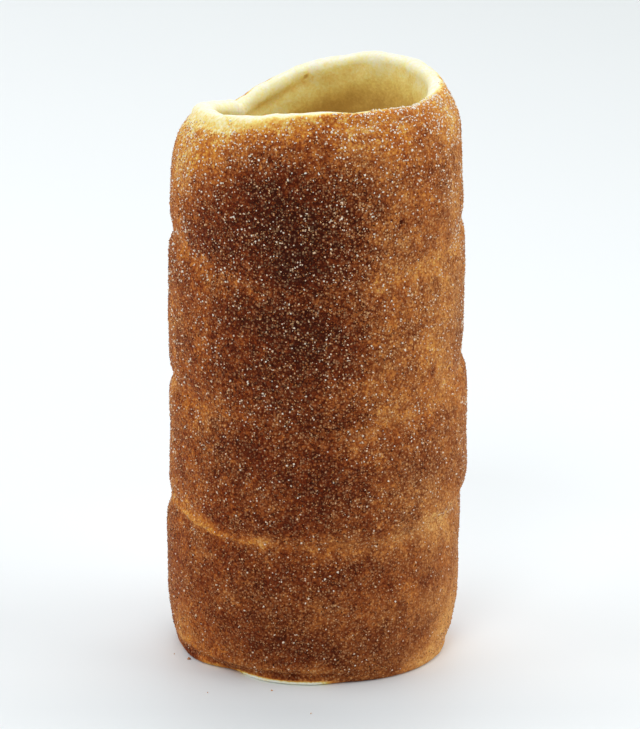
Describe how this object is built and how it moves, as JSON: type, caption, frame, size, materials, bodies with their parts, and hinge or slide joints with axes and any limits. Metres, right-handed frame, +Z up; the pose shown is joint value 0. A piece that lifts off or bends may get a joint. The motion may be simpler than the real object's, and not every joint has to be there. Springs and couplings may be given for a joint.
{
  "type": "chimney cake",
  "caption": "Hollow baked chimney cake: a strip of sweet yeast dough wound as a helix into an upright tube, with a browned, sugared crust.",
  "frame": {"origin": "centre of the lower rim's box, on the surface that the cake stands on", "axes": "+Z up along the tube's axis, -Y towards the shown front, +X to the right of someone who faces it"},
  "size_m": [0.0864, 0.0856, 0.1675],
  "materials": {
    "crust": "browned yeast dough rolled in granulated sugar and cinnamon outside, pale soft crumb on the rim and in the bore"
  },
  "bodies": {
    "root": {"chimney_cake": "crust"}
  },
  "joints": []
}
